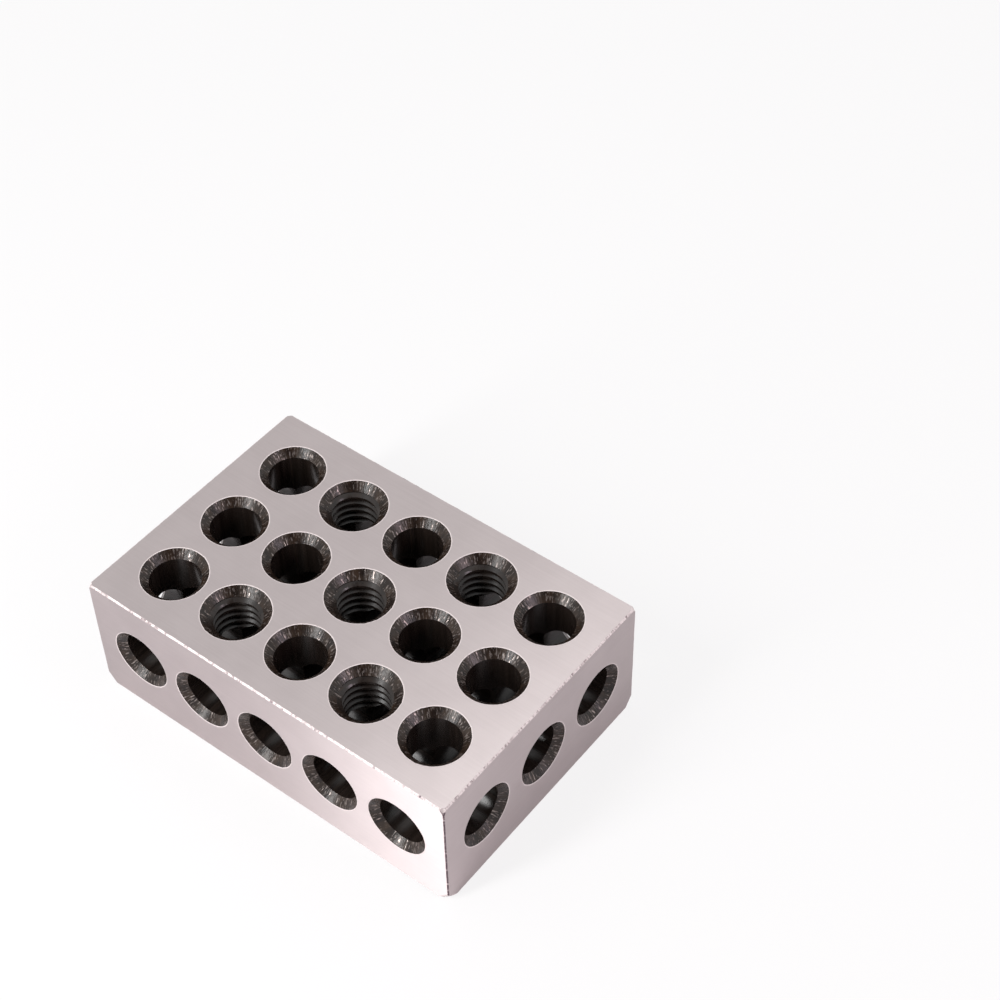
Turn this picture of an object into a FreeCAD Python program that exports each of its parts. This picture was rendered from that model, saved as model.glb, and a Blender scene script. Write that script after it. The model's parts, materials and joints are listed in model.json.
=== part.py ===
"""Machinist's setup block: one hardened and ground steel block, 1 x 2 x 3 inches.

Twenty-three through holes cross at mid thickness: fifteen through the thickness, of which
five are drilled for a 3/8-16 thread, five through the width and three through the length.
Each hole is countersunk at both ends. The origin is at the centre of the bottom face, with
+X along the length, +Y along the width and +Z up through the thickness.
"""
import FreeCAD, Part
import os

import Sketcher

COLUMNS = 5
ROWS = 3

doc = FreeCAD.newDocument("setup_block")

# Driving dimensions in millimetres; bores and mouths are diameters.
SIZES = {
    "block_length": 76.2,
    "block_width": 50.8,
    "block_thickness": 25.4,
    "edge_chamfer": 0.3,
    "end_margin": 10.1,     # end face to the centres of the first column of holes
    "side_margin": 10.4,    # long side face to the centres of the first row of holes
    "plain_bore": 9,        # clears a 5/16 in or 8 mm screw
    "plain_mouth": 11.7,
    "tapped_bore": 7.94,    # 5/16 in tap drill for the 3/8-16 thread
    "tapped_mouth": 12,
    "side_bore": 9,
    "side_mouth": 11.6,
    "mouth_angle": 90,      # degrees across each countersink
}
sheet = doc.addObject("Spreadsheet::Sheet", "dims")
for line, (alias, value) in enumerate(SIZES.items(), start=1):
    sheet.set(f"A{line}", alias)
    sheet.set(f"B{line}", str(value))
    sheet.setAlias(f"B{line}", alias)
doc.recompute()

HALF_LENGTH = "dims.block_length / 2"
HALF_WIDTH = "dims.block_width / 2"
HALF_THICKNESS = "dims.block_thickness / 2"


def origin_plane(body, role):
    """The body's own origin plane with this role."""
    return next(item for item in body.Origin.OriginFeatures if item.Role == role)


def column_place(column):
    """Expression for a column's distance from mid length, towards +X."""
    return f"({HALF_LENGTH} - dims.end_margin) * {2 * column / (COLUMNS - 1) - 1}"


def row_place(row):
    """Expression for a row's distance from mid width, towards +Y."""
    return f"({HALF_WIDTH} - dims.side_margin) * {2 * row / (ROWS - 1) - 1}"


def is_tapped(column, row):
    """The tapped holes stand like the five on a die, in the three inner columns."""
    return 0 < column < COLUMNS - 1 and (column + row) % 2 == 1


def add_sketch(body, name, role, offset=None):
    """A sketch on an origin plane of the body, moved out along its normal to a face."""
    sketch = body.newObject("Sketcher::SketchObject", name)
    sketch.AttachmentSupport = (origin_plane(body, role), [""])
    sketch.MapMode = "FlatFace"
    if offset:
        sketch.setExpression(".AttachmentOffset.Base.z", offset)
    return sketch


def add_rectangle(sketch, width_size, height_size):
    """A rectangle centred on the sketch's origin, with its two sides tied to the sheet."""
    corners = [(-1, -1), (1, -1), (1, 1), (-1, 1)]
    points = [FreeCAD.Vector(x * 10, y * 10, 0) for x, y in corners]
    for start, end in zip(points, points[1:] + points[:1]):
        sketch.addGeometry(Part.LineSegment(start, end), False)
    for side in range(4):
        sketch.addConstraint(Sketcher.Constraint("Coincident", side, 2, (side + 1) % 4, 1))
    for side, direction in enumerate(["Horizontal", "Vertical", "Horizontal", "Vertical"]):
        sketch.addConstraint(Sketcher.Constraint(direction, side))
    sketch.addConstraint(Sketcher.Constraint("Symmetric", 0, 1, 1, 2, -1, 1))
    width = sketch.addConstraint(Sketcher.Constraint("DistanceX", 0, 1, 0, 2, 20))
    height = sketch.addConstraint(Sketcher.Constraint("DistanceY", 1, 1, 1, 2, 20))
    sketch.setExpression(f"Constraints[{width}]", width_size)
    sketch.setExpression(f"Constraints[{height}]", height_size)


def add_centre(sketch, across, up, bore_size):
    """A circle that marks one hole, its centre tied to the sheet by two distances."""
    circle = sketch.addGeometry(Part.Circle(FreeCAD.Vector(1, 1, 0), FreeCAD.Vector(0, 0, 1), 2))
    for direction, place in (("DistanceX", across), ("DistanceY", up)):
        tie = sketch.addConstraint(Sketcher.Constraint(direction, -1, 1, circle, 3, 1))
        sketch.setExpression(f"Constraints[{tie}]", place)
    size = sketch.addConstraint(Sketcher.Constraint("Diameter", circle, 4))
    sketch.setExpression(f"Constraints[{size}]", bore_size)


def drill(body, name, role, offset, centres, kind):
    """Through holes from one face, countersunk there and, by a mirror, at the far face."""
    bore_size = f"dims.{kind}_bore"
    mouth_size = f"dims.{kind}_mouth"
    sketch = add_sketch(body, name + "Centres", role, offset)
    for across, up in centres:
        add_centre(sketch, across, up, bore_size)
    doc.recompute()
    solid_before = body.Shape.Volume

    hole = body.newObject("PartDesign::Hole", name)
    hole.Profile = sketch
    doc.recompute()
    hole.DepthType = "ThroughAll"
    hole.HoleCutType = "Countersink"
    hole.HoleCutCustomValues = True
    hole.setExpression("Diameter", bore_size)
    hole.setExpression("HoleCutDiameter", mouth_size)
    hole.setExpression("HoleCutCountersinkAngle", "dims.mouth_angle")
    sketch.Visibility = False
    doc.recompute()

    mirror = body.newObject("PartDesign::Mirrored", name + "FarMouths")
    mirror.Originals = [hole]
    mirror.MirrorPlane = (origin_plane(body, role), [""])
    body.Tip = mirror
    doc.recompute()
    if body.Shape.Volume >= solid_before:
        raise RuntimeError(f"{name} cut nothing")


def make_block():
    """The whole block, built about its middle and then stood on its bottom face."""
    body = doc.addObject("PartDesign::Body", "setup_block")
    body.Label = "setup_block"

    outline = add_sketch(body, "Outline", "XY_Plane")
    add_rectangle(outline, "dims.block_length", "dims.block_width")
    pad = body.newObject("PartDesign::Pad", "Blank")
    pad.Profile = outline
    pad.SideType = "Symmetric"
    pad.setExpression("Length", "dims.block_thickness")
    outline.Visibility = False
    doc.recompute()

    edges = body.newObject("PartDesign::Chamfer", "BrokenEdges")
    edges.Base = (pad, [f"Edge{number}" for number in range(1, len(pad.Shape.Edges) + 1)])
    edges.setExpression("Size", "dims.edge_chamfer")
    doc.recompute()

    grid = [(column, row) for row in range(ROWS) for column in range(COLUMNS)]
    plain = [(column_place(c), row_place(r)) for c, r in grid if not is_tapped(c, r)]
    tapped = [(column_place(c), row_place(r)) for c, r in grid if is_tapped(c, r)]
    across_width = [(column_place(c), "0 mm") for c in range(COLUMNS)]
    along_length = [(row_place(r), "0 mm") for r in range(ROWS)]

    drill(body, "PlainHoles", "XY_Plane", HALF_THICKNESS, plain, "plain")
    drill(body, "TappedHoles", "XY_Plane", HALF_THICKNESS, tapped, "tapped")
    drill(body, "WidthHoles", "XZ_Plane", HALF_WIDTH, across_width, "side")
    drill(body, "LengthHoles", "YZ_Plane", HALF_LENGTH, along_length, "side")

    body.setExpression(".Placement.Base.z", HALF_THICKNESS)
    doc.recompute()
    return body


def check(bodies):
    """Stop if any feature failed or a body has no sound solid."""
    failed = [item.Name for item in doc.Objects if {"Invalid", "Error"} & set(item.State)]
    if failed:
        raise RuntimeError("failed features: " + ", ".join(failed))
    for body in bodies:
        if body.Shape.isNull() or not body.Shape.isValid():
            raise RuntimeError(body.Label + " has no sound shape")


bodies = [make_block()]
check(bodies)
os.makedirs("parts", exist_ok=True)
for body in bodies:
    box = body.Shape.BoundBox
    print(f"{body.Label}: {box.XLength:.3f} x {box.YLength:.3f} x {box.ZLength:.3f} mm,"
          f" z {box.ZMin:.3f} to {box.ZMax:.3f}, {body.Shape.Volume:.1f} mm3")
    body.Shape.exportStep(f"parts/{body.Label}.step")
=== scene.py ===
import json
import math
import random

import bpy
from mathutils import Matrix, Vector, noise


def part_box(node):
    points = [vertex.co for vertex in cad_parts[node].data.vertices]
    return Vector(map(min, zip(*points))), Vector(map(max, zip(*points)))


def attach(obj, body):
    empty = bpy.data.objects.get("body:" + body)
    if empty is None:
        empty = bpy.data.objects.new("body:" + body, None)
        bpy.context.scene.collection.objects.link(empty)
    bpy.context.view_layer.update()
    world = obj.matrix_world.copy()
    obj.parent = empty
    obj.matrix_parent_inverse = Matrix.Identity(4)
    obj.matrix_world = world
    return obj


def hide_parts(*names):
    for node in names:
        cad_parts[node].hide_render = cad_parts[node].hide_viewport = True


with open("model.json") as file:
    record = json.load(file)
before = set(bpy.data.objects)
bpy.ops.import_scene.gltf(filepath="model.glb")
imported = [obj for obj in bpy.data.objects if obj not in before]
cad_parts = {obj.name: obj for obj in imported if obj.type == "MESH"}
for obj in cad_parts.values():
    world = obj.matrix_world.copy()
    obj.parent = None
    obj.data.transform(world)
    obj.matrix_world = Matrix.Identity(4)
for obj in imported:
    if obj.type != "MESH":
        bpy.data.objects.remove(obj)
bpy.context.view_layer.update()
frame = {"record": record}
print("frame loaded")

# A machinist's setup block: one solid of hardened tool steel, ground on all six faces.
# The hole grid comes from the record, everything else that is placed comes from the box.

mm = 0.001
low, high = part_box("setup_block")
middle = (low + high) / 2
half = (high - low) / 2
mounts = {mount["name"]: mount["dims"] for mount in frame["record"]["mounts"]}

grid = {
    "columns": 5,
    "rows": 3,
    "columnPitch": mounts["plain_corners"]["spacing_x_mm"] / 4 * mm,
    "rowPitch": mounts["plain_corners"]["spacing_y_mm"] / 2 * mm,
}


def columnPlace(column):
    return (column - (grid["columns"] - 1) / 2) * grid["columnPitch"]


def rowPlace(row):
    return (row - (grid["rows"] - 1) / 2) * grid["rowPitch"]


def isTapped(column, row):
    return 0 < column < grid["columns"] - 1 and (column + row) % 2 == 1   # laid out as the five on a die


# ---- small tools for modelling ----

def pick(piece):
    bpy.ops.object.select_all(action="DESELECT")
    bpy.context.view_layer.objects.active = piece
    piece.select_set(True)


def startEditing(piece, part):
    pick(piece)
    bpy.ops.object.mode_set(mode="EDIT")
    bpy.ops.mesh.select_mode(type=part)
    bpy.ops.mesh.select_all(action="DESELECT")
    bpy.ops.object.mode_set(mode="OBJECT")


def selectWhere(parts, test):
    for part in parts:
        part.select = bool(test(part))
    bpy.ops.object.mode_set(mode="EDIT")


def stopEditing():
    bpy.ops.object.mode_set(mode="OBJECT")


# ---- the ground blank with its broken edges ----

blank = {
    "chamfer": 0.3 * mm,
    "upright": 0.22 * mm,     # the four upright edges are broken a little less
    "stroke": 0.5 * mm,       # width of one stroke of the stone along a broken edge
    "nick": 0.05 * mm,        # how far single strokes bite in or fall short
    "drift": 0.04 * mm,       # slow change of the chamfer's width along the edge
    "driftLength": 4 * mm,
    "topCorner": 0.8 * mm,    # radius the corners are knocked back to
    "bottomCorner": 1.5 * mm,
}


def edgeAxis(mesh, edge):
    along = mesh.vertices[edge.vertices[1]].co - mesh.vertices[edge.vertices[0]].co
    return max(range(3), key=lambda axis: abs(along[axis])), along.length


def makeBlank():
    bpy.ops.object.select_all(action="DESELECT")
    bpy.ops.mesh.primitive_cube_add(size=1, location=middle, scale=high - low)
    block = bpy.context.object
    block.name = "groundBlock"
    bpy.ops.object.transform_apply(location=True, rotation=True, scale=True)
    mesh = block.data

    startEditing(block, "EDGE")
    selectWhere(mesh.edges, lambda edge: True)
    bpy.ops.mesh.bevel(offset=blank["chamfer"], segments=1, affect="EDGES")
    stopEditing()

    # the six faces come off, so that only the chamfers between them are divided
    startEditing(block, "FACE")
    selectWhere(mesh.polygons, lambda face: max(abs(value) for value in face.normal) > 0.99)
    bpy.ops.mesh.delete(type="ONLY_FACE")
    stopEditing()
    for axis in range(3):
        def isLong(edge):
            edgeDirection, length = edgeAxis(mesh, edge)
            return edgeDirection == axis and length > 2 * blank["chamfer"]
        strokes = round(2 * half[axis] / blank["stroke"])
        startEditing(block, "EDGE")
        selectWhere(mesh.edges, isLong)
        bpy.ops.mesh.subdivide(number_cuts=strokes - 1)
        stopEditing()
    startEditing(block, "EDGE")
    bpy.ops.object.mode_set(mode="EDIT")
    bpy.ops.mesh.select_non_manifold()
    bpy.ops.mesh.fill_holes(sides=0)
    bpy.ops.mesh.select_all(action="SELECT")
    bpy.ops.mesh.normals_make_consistent(inside=False)
    stopEditing()

    # both sides of each chamfer wander within their own flat face
    random.seed(11)
    for vertex in mesh.vertices:
        offset = vertex.co - middle
        onTop = half.z - abs(offset.z) < 1e-6
        for axis in range(3):
            inner = half[axis] - blank["chamfer"]
            if abs(abs(offset[axis]) - inner) < 1e-6:
                slow = noise.noise(vertex.co / blank["driftLength"] + Vector((7, 3, axis * 5))) * blank["drift"]
                quick = random.uniform(-1, 1) * blank["nick"]
                if axis < 2 and not onTop:
                    slow += blank["chamfer"] - blank["upright"]
                    quick *= 0.4
                vertex.co[axis] += math.copysign(slow + quick, offset[axis])
    knockCorners(block)
    return block


def knockCorners(block):
    # four small flats stand for the rounding of each corner
    startEditing(block, "EDGE")
    bpy.ops.object.mode_set(mode="EDIT")
    for number in range(8):
        side = Vector((1 if number & 1 else -1, 1 if number & 2 else -1, 1 if number & 4 else -1))
        radius = blank["topCorner"] if side.z > 0 else blank["bottomCorner"]
        corner = middle + side * half
        for lean in ((1, 1, 1), (2, 1, 1), (1, 2, 1), (1, 1, 2)):
            away = (side * Vector(lean)).normalized()
            depth = radius * (sum(abs(value) for value in away) - 1)
            bpy.ops.mesh.select_all(action="SELECT")
            bpy.ops.mesh.bisect(plane_co=corner - away * depth, plane_no=away, clear_outer=True)
            bpy.ops.mesh.select_all(action="DESELECT")
            bpy.ops.mesh.select_non_manifold()
            bpy.ops.mesh.edge_face_add()
    stopEditing()


# ---- cutters for the holes ----

hole = {
    "sides": 96,
    "mouthRings": 4,
    "plainMouth": 5.85 * mm,
    "tappedMouth": 6.0 * mm,
    "sideMouth": 5.8 * mm,
    "plainBore": mounts["plain_corners"]["hole_r_mm"] * mm,
    "sideBore": mounts["width_holes_outer"]["hole_r_mm"] * mm,
    "tapDrill": mounts["tapped_four"]["hole_r_mm"] * mm,
    "rimWidth": 0.15 * mm,    # the burr at the rim is stoned off to this narrow band
    "rimDepth": 0.05 * mm,
    "clearance": 0.8 * mm,    # how far a cutter stands out of the block
    "chatter": 0.02 * mm,     # height of the countersink's chatter marks
    "nick": 0.08 * mm,        # torn places where the scale has broken out
    "nickShare": 0.03,
}


def mouthRings(mouth, inner, face, outward):
    # (radius, height) from the bore's end up through the face, for a mouth of 90 degrees
    rings = []
    for step in range(hole["mouthRings"] + 1):
        radius = inner + (mouth - inner) * step / hole["mouthRings"]
        rings.append((radius, face - outward * (mouth - radius + hole["rimDepth"])))
    slope = hole["rimWidth"] / hole["rimDepth"]
    rings.append((mouth + slope * (hole["rimDepth"] + hole["clearance"]), face + outward * hole["clearance"]))
    return rings


def turnCutter(name, rings, reach):
    # a disc is drawn up ring by ring, as a lathe would turn it
    bpy.ops.object.select_all(action="DESELECT")
    radius, height = rings[0]
    bpy.ops.mesh.primitive_circle_add(
        vertices=hole["sides"], radius=radius, fill_type="NGON", location=(0, 0, 0))
    cutter = bpy.context.object
    cutter.name = name
    bpy.ops.object.mode_set(mode="EDIT")
    bpy.ops.mesh.select_all(action="SELECT")
    bpy.ops.transform.translate(value=(0, 0, height))
    for nextRadius, nextHeight in rings[1:]:
        bpy.ops.mesh.extrude_region_move(TRANSFORM_OT_translate={"value": (0, 0, nextHeight - height)})
        ratio = nextRadius / radius
        bpy.ops.transform.resize(value=(ratio, ratio, 1), center_override=(0, 0, nextHeight))
        radius, height = nextRadius, nextHeight
    bpy.ops.mesh.select_all(action="SELECT")
    bpy.ops.mesh.normals_make_consistent(inside=False)
    stopEditing()
    wrapHole(cutter.data, rings[-1][0], reach)
    return cutter


def wrapHole(mesh, radius, reach):
    # the map runs round the hole and down from the nearer face, both in millimetres
    layer = mesh.uv_layers.new(name="surface") if not mesh.uv_layers else mesh.uv_layers[0]
    layer.name = "surface"
    for face in mesh.polygons:
        turns = [math.atan2(mesh.vertices[v].co.y, mesh.vertices[v].co.x) for v in face.vertices]
        if max(turns) - min(turns) > math.pi:
            turns = [turn + 2 * math.pi if turn < 0 else turn for turn in turns]
        for loop, turn, v in zip(face.loop_indices, turns, face.vertices):
            layer.data[loop].uv = (turn * radius / mm, (reach - abs(mesh.vertices[v].co.z)) / mm)


def roughenMouths(mesh, bore, seed):
    # chatter lifts the countersink's wall in and out, and makes its rim uneven
    random.seed(seed)
    phase = random.uniform(0, 10)
    for vertex in mesh.vertices:
        radius = math.hypot(vertex.co.x, vertex.co.y)
        if radius < bore * 1.002 - 1e-9:
            continue
        angle = math.atan2(vertex.co.y, vertex.co.x)
        lobes = noise.noise(Vector((math.cos(angle) * 2.5, math.sin(angle) * 2.5, phase)))
        lift = (0.7 * random.uniform(-1, 1) + 0.9 * lobes) * hole["chatter"]
        if random.random() < hole["nickShare"]:
            lift += random.uniform(0.4, 1) * hole["nick"]
        vertex.co.x += lift * math.cos(angle)
        vertex.co.y += lift * math.sin(angle)


def placeCopies(master, places, turn, bore, seed):
    # every copy has its own mesh and its own chatter; one object comes back
    copies = []
    for number, place in enumerate(places):
        copy = master.copy()
        copy.data = master.data.copy()
        bpy.context.scene.collection.objects.link(copy)
        roughenMouths(copy.data, bore, seed + number)
        for corner in copy.data.uv_layers["surface"].data:
            corner.uv.x += 61.3 * (seed + number)    # no two holes wear the same pattern
        copy.location = place
        copy.rotation_euler = turn
        copies.append(copy)
    bpy.data.objects.remove(master)
    bpy.ops.object.select_all(action="DESELECT")
    for copy in copies:
        copy.select_set(True)
    bpy.context.view_layer.objects.active = copies[0]
    bpy.ops.object.join()
    return bpy.context.object


def doubleCutter(name, mouth, bore, reach):
    # a bore with a countersink at both ends, about its own middle
    lowerEnd = mouthRings(mouth, bore, -reach, -1)
    upperEnd = mouthRings(mouth, bore, reach, 1)
    return turnCutter(name, lowerEnd[::-1] + upperEnd, reach)


thread = {
    "pitch": 25.4 / 16 * mm,          # sixteen threads to the inch
    "root": 9.525 / 2 * mm,           # outer radius of the thread's grooves
    "crest": hole["tapDrill"],
    "sides": 64,
    "flank": math.radians(30),
}


def threadRod():
    # one tooth is drawn as a chain of points, swept up a helix and cut off square
    depth = thread["root"] - thread["crest"]
    rise = depth * math.tan(thread["flank"])
    rootFlat = thread["pitch"] / 8
    crestFlat = thread["pitch"] - 2 * rise - rootFlat
    start = -half.z - 2 * thread["pitch"]
    bpy.ops.object.select_all(action="DESELECT")
    bpy.ops.mesh.primitive_plane_add(size=mm, location=(0, 0, 0))
    rod = bpy.context.object
    rod.name = "threadRod"
    bpy.ops.object.mode_set(mode="EDIT")
    bpy.ops.mesh.select_mode(type="VERT")
    bpy.ops.mesh.select_all(action="SELECT")
    bpy.ops.mesh.merge(type="CENTER")
    bpy.ops.transform.translate(value=(thread["crest"], 0, start))
    for out, up in ((0, crestFlat), (depth, rise), (0, rootFlat), (-depth, rise)):
        bpy.ops.mesh.extrude_vertices_move(TRANSFORM_OT_translate={"value": (out, 0, up)})
    stopEditing()

    sweep = rod.modifiers.new("sweep", "SCREW")
    sweep.axis = "Z"
    sweep.screw_offset = thread["pitch"]
    sweep.iterations = math.ceil(2 * half.z / thread["pitch"]) + 4
    sweep.steps = sweep.render_steps = thread["sides"]
    bpy.ops.object.modifier_apply(modifier="sweep")

    bpy.ops.object.mode_set(mode="EDIT")
    bpy.ops.mesh.select_all(action="SELECT")
    bpy.ops.mesh.remove_doubles(threshold=1e-6)
    end = half.z + 0.5 * mm
    bpy.ops.mesh.bisect(plane_co=(0, 0, end), plane_no=(0, 0, 1), use_fill=True, clear_outer=True)
    bpy.ops.mesh.select_all(action="SELECT")
    bpy.ops.mesh.bisect(plane_co=(0, 0, -end), plane_no=(0, 0, 1), use_fill=True, clear_inner=True)
    bpy.ops.mesh.select_all(action="SELECT")
    bpy.ops.mesh.normals_make_consistent(inside=False)
    stopEditing()
    wrapHole(rod.data, thread["crest"], half.z)
    return rod


def cut(block, cutter, label):
    cutting = block.modifiers.new("cut", "BOOLEAN")
    cutting.operation = "DIFFERENCE"
    cutting.solver = "MANIFOLD"
    cutting.object = cutter
    pick(block)
    bpy.ops.object.modifier_apply(modifier="cut")
    bpy.data.objects.remove(cutter)
    print("cut", label, len(block.data.polygons), "faces")


def cutHoles(block):
    cells = [(column, row) for column in range(grid["columns"]) for row in range(grid["rows"])]
    spot = {cell: Vector((columnPlace(cell[0]), rowPlace(cell[1]), middle.z)) for cell in cells}
    tapped = [spot[cell] for cell in cells if isTapped(*cell)]
    plain = [spot[cell] for cell in cells if not isTapped(*cell)]
    never = 1.0   # a bore radius that no vertex reaches, so nothing is roughened

    cut(block, placeCopies(threadRod(), tapped, (0, 0, 0), never, 0), "threads")
    mouths = turnCutter("tappedMouth", mouthRings(hole["tappedMouth"], hole["tapDrill"] * 0.9, half.z, 1), half.z)
    cut(block, placeCopies(mouths, tapped, (0, 0, 0), 0, 20), "tapped mouths")
    mouths = turnCutter("tappedMouth", mouthRings(hole["tappedMouth"], hole["tapDrill"] * 0.9, half.z, 1), half.z)
    cut(block, placeCopies(mouths, tapped, (math.pi, 0, 0), 0, 40), "tapped far mouths")
    cutter = doubleCutter("plainHole", hole["plainMouth"], hole["plainBore"], half.z)
    cut(block, placeCopies(cutter, plain, (0, 0, 0), hole["plainBore"], 60), "plain holes")
    cutter = doubleCutter("widthHole", hole["sideMouth"], hole["sideBore"], half.y)
    places = [Vector((columnPlace(column), 0, middle.z)) for column in range(grid["columns"])]
    cut(block, placeCopies(cutter, places, (math.pi / 2, 0, 0), hole["sideBore"], 80), "width holes")
    cutter = doubleCutter("lengthHole", hole["sideMouth"], hole["sideBore"], half.x)
    places = [Vector((0, rowPlace(row), middle.z)) for row in range(grid["rows"])]
    cut(block, placeCopies(cutter, places, (0, math.pi / 2, 0), hole["sideBore"], 100), "length holes")


block = makeBlank()
print("blank", len(block.data.polygons), "faces")

pick(block)
bpy.ops.object.mode_set(mode="EDIT")
bpy.ops.mesh.select_all(action="SELECT")
bpy.ops.uv.cube_project(cube_size=mm)
stopEditing()
block.data.uv_layers[0].name = "surface"
cutHoles(block)


# ---- materials ----

def hexColour(text):
    channels = [int(text[place:place + 2], 16) / 255 for place in (1, 3, 5)]
    linear = [c / 12.92 if c <= 0.04045 else ((c + 0.055) / 1.055) ** 2.4 for c in channels]
    return (*linear, 1)


def addNode(tree, kind, settings=None, links=None):
    node = tree.nodes.new("ShaderNode" + kind)
    for name, value in (settings or {}).items():
        if isinstance(name, str) and hasattr(node, name):
            setattr(node, name, value)
        else:
            node.inputs[name].default_value = value
    for name, socket in (links or {}).items():
        tree.links.new(socket, node.inputs[name])
    return node


def newMaterial(name):
    material = bpy.data.materials.new(name)
    material.use_nodes = True
    material.node_tree.nodes.clear()
    return material, material.node_tree


def addRamp(tree, stops, factor):
    ramp = addNode(tree, "ValToRGB", links={"Fac": factor})
    marks = ramp.color_ramp.elements
    while len(marks) < len(stops):
        marks.new(1.0)
    for mark, (place, colour) in zip(marks, stops):
        mark.position = place
        mark.color = hexColour(colour)
    return ramp.outputs["Color"]


def addPattern(tree, across, along, detail=2.0):
    # noise on the surface map, its spots so many millimetres wide in each direction
    place = addNode(tree, "UVMap", {"uv_map": "surface"})
    stretched = addNode(tree, "Mapping", {"Scale": (1 / across, 1 / along, 1)}, {"Vector": place.outputs["UV"]})
    spots = addNode(tree, "TexNoise", {"Scale": 1.0, "Detail": detail}, {"Vector": stretched.outputs["Vector"]})
    return spots.outputs["Fac"]


groundSteel = {
    "darkLine": "#bbb1b1",
    "lightLine": "#c0b6b6",
    "lineLength": 14,        # mm, one pass of a grinding grit
    "lineWidth": 0.30,       # mm; the grit's own 0.05 mm lines are too fine to show
    "cloudSize": 7,          # mm
}


def makeGroundSteel():
    # hardened tool steel, surface ground: a soft satin that shines across the grinding lines
    material, tree = newMaterial("Hardened tool steel, surface ground")
    tangent = addNode(tree, "Tangent", {"direction_type": "UV_MAP", "uv_map": "surface"})
    lines = addPattern(tree, groundSteel["lineLength"], groundSteel["lineWidth"], 3)
    clouds = addPattern(tree, groundSteel["cloudSize"], groundSteel["cloudSize"], 3)
    tone = addNode(tree, "MapRange", {"From Min": 0.3, "From Max": 0.7, "To Min": -0.25, "To Max": 0.25},
                   {"Value": clouds})
    tone = addNode(tree, "Math", {"operation": "ADD"}, {0: tone.outputs[0], 1: lines})
    tint = addRamp(tree, [(0.25, groundSteel["darkLine"]), (0.75, groundSteel["lightLine"])], tone.outputs[0])
    grooves = addNode(tree, "Bump", {"Strength": 0.08, "Distance": 0.002 * mm}, {"Height": lines})
    shader = addNode(tree, "BsdfPrincipled", {
        "Metallic": 1.0, "Roughness": 0.32, "Anisotropic": 1.0, "Anisotropic Rotation": 0.25,
    }, {"Base Color": tint, "Tangent": tangent.outputs["Tangent"], "Normal": grooves.outputs["Normal"]})
    addNode(tree, "OutputMaterial", links={"Surface": shader.outputs["BSDF"]})
    return material


def makeStonedEdgeAndPaintedLight():
    # the sharp corner taken off by hand with a stone: bright strokes, with scale left between them; the dark end
    # of the ramp is also painted shade on the upright edges, and its light end a painted highlight round the hole
    # rims
    material, tree = newMaterial("Tool steel edges: stone worn, painted shade and highlight")
    # the attribute carries the stoned wear, and also painted shade on the upright edges and a painted highlight
    # on the hole rims
    bare = addNode(tree, "Attribute", {"attribute_name": "stonedAndPaintedLight"})
    strokes = addPattern(tree, 0.5, 0.5, 2)
    share = addNode(tree, "Math", {"operation": "ADD"}, {0: bare.outputs["Fac"], 1: strokes})
    # dark purple end: painted shade of the upright edges; light end: painted highlight halo of the hole rims and
    # bright stone strokes
    tint = addRamp(tree, [(0.62, "#6f5f66"), (0.80, "#bdb2b2"), (1.0, "#e2dad9")], share.outputs[0])
    shader = addNode(tree, "BsdfPrincipled", {"Metallic": 1.0, "Roughness": 0.75}, {"Base Color": tint})
    addNode(tree, "OutputMaterial", links={"Surface": shader.outputs["BSDF"]})
    return material


mouthScale = {
    "dark": "#1a120e",
    "brown": "#33271f",
    "bare": "#a89c97",
    "streak": (0.40, 2.6),     # mm across and along, a chatter mark of the countersink
    "blotch": (2.4, 1.8),
    "grain": (0.55, 0.55),
}


def makeMouthScale():
    # heat treatment scale on the countersinks, half scrubbed off: a brown black oxide with a
    # low gloss, and bright steel streaks where the tool's chatter stands proud
    material, tree = newMaterial("Heat treatment scale, scrubbed")
    streaks = addPattern(tree, *mouthScale["streak"], 3)
    blotches = addPattern(tree, *mouthScale["blotch"], 2)
    grains = addPattern(tree, *mouthScale["grain"], 2)
    brown = addRamp(tree, [(0.35, mouthScale["dark"]), (0.65, mouthScale["brown"])], blotches)
    markLevel = addNode(tree, "Math", {"operation": "MULTIPLY"}, {0: streaks, 1: grains})
    bareness = addNode(tree, "MapRange", {"From Min": 0.29, "From Max": 0.46}, {"Value": markLevel.outputs[0]})
    tint = addNode(tree, "Mix", {"data_type": "RGBA", "B": hexColour(mouthScale["bare"])},
                   {"Factor": bareness.outputs[0], "A": brown})
    height = addNode(tree, "Math", {"operation": "ADD"}, {0: streaks, 1: grains})
    bump = addNode(tree, "Bump", {"Strength": 1.0, "Distance": 0.04 * mm}, {"Height": height.outputs[0]})
    shader = addNode(tree, "BsdfPrincipled", {"Roughness": 0.25, "IOR": 1.40},
                     {"Base Color": tint.outputs["Result"], "Metallic": bareness.outputs[0],
                      "Normal": bump.outputs["Normal"]})
    addNode(tree, "OutputMaterial", links={"Surface": shader.outputs["BSDF"]})
    return material


boreScale = {"dark": "#1b1512", "brown": "#2b231f", "blotch": (1.6, 1.6)}


def makeBoreScale():
    # heat treatment scale in the bores and threads, never touched: near black, faintly glossy
    material, tree = newMaterial("Heat treatment scale, black")
    blotches = addPattern(tree, *boreScale["blotch"], 3)
    tint = addRamp(tree, [(0.35, boreScale["dark"]), (0.65, boreScale["brown"])], blotches)
    bump = addNode(tree, "Bump", {"Strength": 0.4, "Distance": 0.03 * mm}, {"Height": blotches})
    shader = addNode(tree, "BsdfPrincipled", {"Roughness": 0.26, "IOR": 1.45},
                     {"Base Color": tint, "Normal": bump.outputs["Normal"]})
    addNode(tree, "OutputMaterial", links={"Surface": shader.outputs["BSDF"]})
    return material


# how bare the stone left a surface, 0 to 1, and how much that changes from stroke to stroke; the low upright
# value paints shade on the upright edges, and the high rim value paints a highlight round each hole's rim
edgeWearAndPaintedLight = {"level": 0.44, "upright": 0.1, "rim": 0.6, "change": 0.10}


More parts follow.
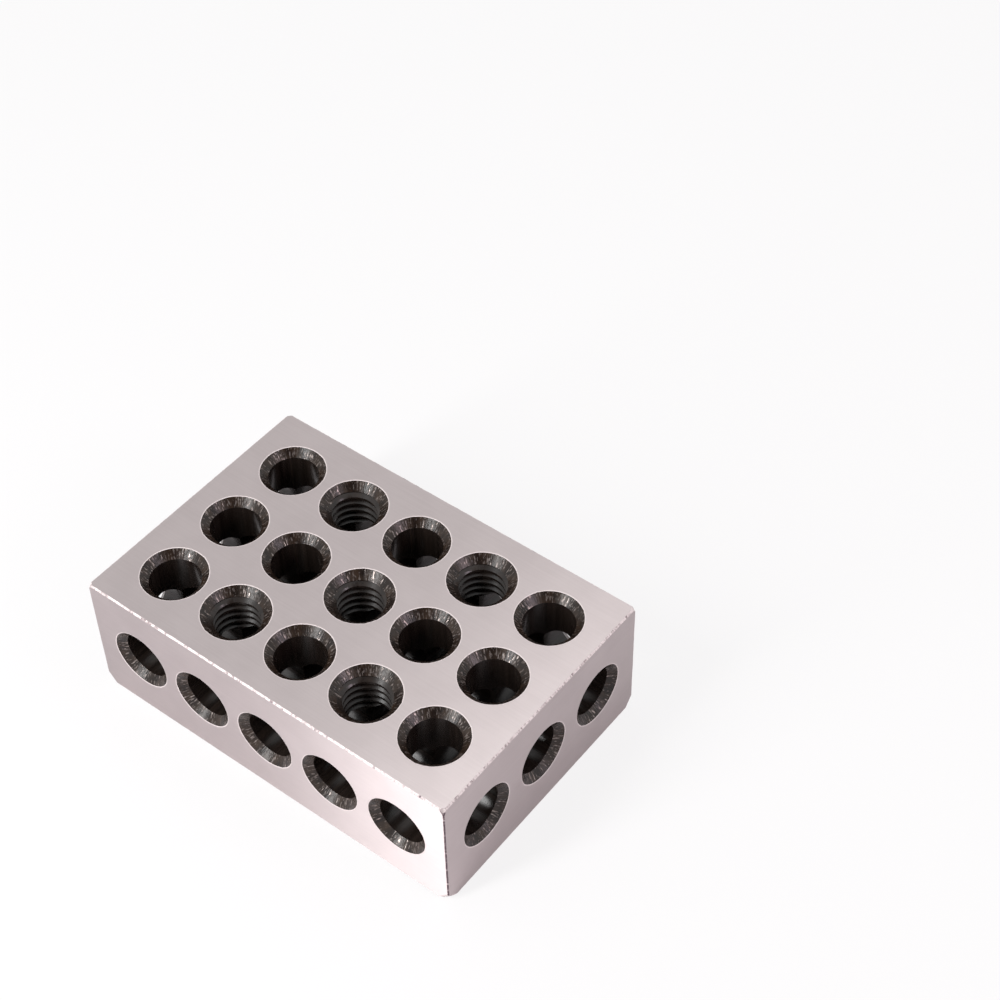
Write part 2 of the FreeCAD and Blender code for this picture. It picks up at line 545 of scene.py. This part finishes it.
def dressBlock(block):
    mesh = block.data
    mesh.materials.clear()
    for material in (makeGroundSteel(), makeStonedEdgeAndPaintedLight(), makeMouthScale(), makeBoreScale()):
        mesh.materials.append(material)
    ground, edge, mouth, bore = 0, 1, 2, 3
    mouthDepth = hole["tappedMouth"] - hole["plainBore"] + hole["rimDepth"]
    stonedAndPaintedLight = mesh.attributes.new("stonedAndPaintedLight", "FLOAT", "FACE")
    random.seed(5)
    for face in mesh.polygons:
        gaps = sorted(half[axis] - abs(face.center[axis] - middle[axis]) for axis in range(3))
        steep = max(abs(value) for value in face.normal)
        broken = gaps[0] + gaps[1] < blank["chamfer"] * 1.3 or sum(gaps) < 2 * blank["bottomCorner"]
        if steep > 0.9999 and gaps[0] < 1e-6:
            face.material_index = ground
        elif broken or gaps[0] < hole["rimDepth"] * 0.9:
            face.material_index = edge
            # upright edges get painted shade, hole rims a painted highlight, and level edges their stoned wear
            markLevel = edgeWearAndPaintedLight["rim"] if not broken else edgeWearAndPaintedLight["upright" if abs(face.normal.z) < 0.3 else "level"]
            stonedAndPaintedLight.data[face.index].value = markLevel + random.uniform(-1, 1) * edgeWearAndPaintedLight["change"]
        elif gaps[0] < mouthDepth and steep < 0.95:
            face.material_index = mouth
        else:
            face.material_index = bore
    pick(block)
    bpy.ops.object.shade_smooth_by_angle(angle=math.radians(30))
    finishes = {}
    for face in mesh.polygons:
        for key in face.edge_keys:
            finishes.setdefault(key, set()).add(face.material_index)
    for edge in mesh.edges:
        if len(finishes.get(edge.key, ())) > 1:
            edge.use_edge_sharp = True     # ground faces stay dead flat up to their edges
    print("dressed", len(mesh.polygons), "faces",
          sum(len(face.vertices) - 2 for face in mesh.polygons), "triangles")


dressBlock(block)
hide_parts("setup_block")
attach(block, "root")


# ---- floor, light and camera ----

floorLook = {
    "paper": "#f4f0f2",
    "glow": 0.8,          # share of plain white in what the camera sees, the rest keeps the shadow
    "glowInMetal": 0.1,
}


def makeFloor():
    material, tree = newMaterial("White sweep")
    path = addNode(tree, "LightPath")
    mirrored = addNode(tree, "Math", {"operation": "MAXIMUM"},
                       {0: path.outputs["Is Glossy Ray"], 1: path.outputs["Is Transmission Ray"]})
    inMetal = addNode(tree, "Math", {"operation": "MULTIPLY", 1: floorLook["glowInMetal"]},
                      {0: mirrored.outputs[0]})
    share = addNode(tree, "Math", {"operation": "MULTIPLY_ADD", 1: floorLook["glow"]},
                    {0: path.outputs["Is Camera Ray"], 2: inMetal.outputs[0]})
    paper = addNode(tree, "BsdfDiffuse", {"Color": hexColour(floorLook["paper"])})
    glow = addNode(tree, "Emission", {"Color": (1, 1, 1, 1), "Strength": 1.0})
    mixed = addNode(tree, "MixShader", links={
        0: share.outputs[0], 1: paper.outputs[0], 2: glow.outputs[0]})
    addNode(tree, "OutputMaterial", links={"Surface": mixed.outputs[0]})
    bpy.ops.object.select_all(action="DESELECT")
    bpy.ops.mesh.primitive_plane_add(size=6, location=(0, 0, low.z - 0.01 * mm))
    floor = bpy.context.object
    floor.name = "floor"
    floor.data.materials.append(material)


def makeWorld():
    world = bpy.data.worlds.new("studio")
    bpy.context.scene.world = world
    world.use_nodes = True
    tree = world.node_tree
    tree.nodes.clear()
    path = addNode(tree, "LightPath")
    seen = addNode(tree, "Math", {"operation": "MAXIMUM"},
                   {0: path.outputs["Is Camera Ray"], 1: path.outputs["Is Glossy Ray"]})
    level = addNode(tree, "MapRange", {"To Min": 0.7, "To Max": 1.0}, {"Value": seen.outputs[0]})
    sky = addNode(tree, "Background", {"Color": (1, 1, 1, 1)}, {"Strength": level.outputs[0]})
    addNode(tree, "OutputWorld", links={"Surface": sky.outputs[0]})


def aroundBlock(azimuth, elevation, distance):
    # azimuth 0 is in front of the long side with five holes, 90 in front of the end with three
    azimuth, elevation = math.radians(azimuth), math.radians(elevation)
    return middle + distance * Vector((math.sin(azimuth) * math.cos(elevation),
                                       -math.cos(azimuth) * math.cos(elevation), math.sin(elevation)))


def addLamp(name, azimuth, elevation, distance, size, watts, tint="#ffffff"):
    light = bpy.data.lights.new(name, "AREA")
    light.shape = "RECTANGLE"
    light.size, light.size_y = size
    light.energy = watts
    light.color = hexColour(tint)[:3]
    lamp = bpy.data.objects.new(name, light)
    bpy.context.scene.collection.objects.link(lamp)
    lamp.location = aroundBlock(azimuth, elevation, distance)
    lamp.visible_camera = False
    lamp.rotation_euler = (middle - lamp.location).to_track_quat("-Z", "Y").to_euler()


makeFloor()
makeWorld()
addLamp("keySoftbox", -16, 30, 0.40, (0.07, 0.45), 1.6)
addLamp("backSoftbox", 101, 32, 0.5, (0.12, 0.12), 0.36, "#ffe8f6")

view = {
    "lens": 76.0,
    "aim": Vector((-9.44, 49.76, 0)) * mm,
    "distance": 399.2 * mm,
    "azimuth": math.radians(38.51),
    "elevation": math.radians(46.88),
    "roll": math.radians(1.237),
}


def makeCamera():
    camera = bpy.data.objects.new("camera", bpy.data.cameras.new("camera"))
    bpy.context.scene.collection.objects.link(camera)
    camera.data.lens = view["lens"]
    camera.data.clip_start = 0.01
    flat = math.cos(view["elevation"])
    back = Vector((math.sin(view["azimuth"]) * flat, -math.cos(view["azimuth"]) * flat,
                   math.sin(view["elevation"])))
    turn = (-back).to_track_quat("-Z", "Y").to_matrix().to_4x4()
    camera.matrix_world = (Matrix.Translation(view["aim"] + back * view["distance"]) @ turn
                           @ Matrix.Rotation(-view["roll"], 4, "Z"))
    bpy.context.scene.camera = camera


def makeCurtain():
    # the dark of the room behind the camera, which the near sides of the countersinks mirror
    material, tree = newMaterial("Black cloth")
    cloth = addNode(tree, "BsdfDiffuse", {"Color": hexColour("#171416")})
    addNode(tree, "OutputMaterial", links={"Surface": cloth.outputs[0]})
    flat = math.cos(view["elevation"])
    back = Vector((math.sin(view["azimuth"]) * flat, -math.cos(view["azimuth"]) * flat,
                   math.sin(view["elevation"])))
    bpy.ops.object.select_all(action="DESELECT")
    bpy.ops.mesh.primitive_circle_add(vertices=32, radius=0.19, fill_type="NGON",
                                      location=view["aim"] + back * (view["distance"] + 0.06),
                                      rotation=back.to_track_quat("Z", "Y").to_euler())
    curtain = bpy.context.object
    curtain.name = "curtain"
    curtain.data.materials.append(material)
    curtain.visible_camera = False


makeCamera()
makeCurtain()
bpy.context.scene.view_settings.view_transform = "Standard"
print("stage, lights and camera set")
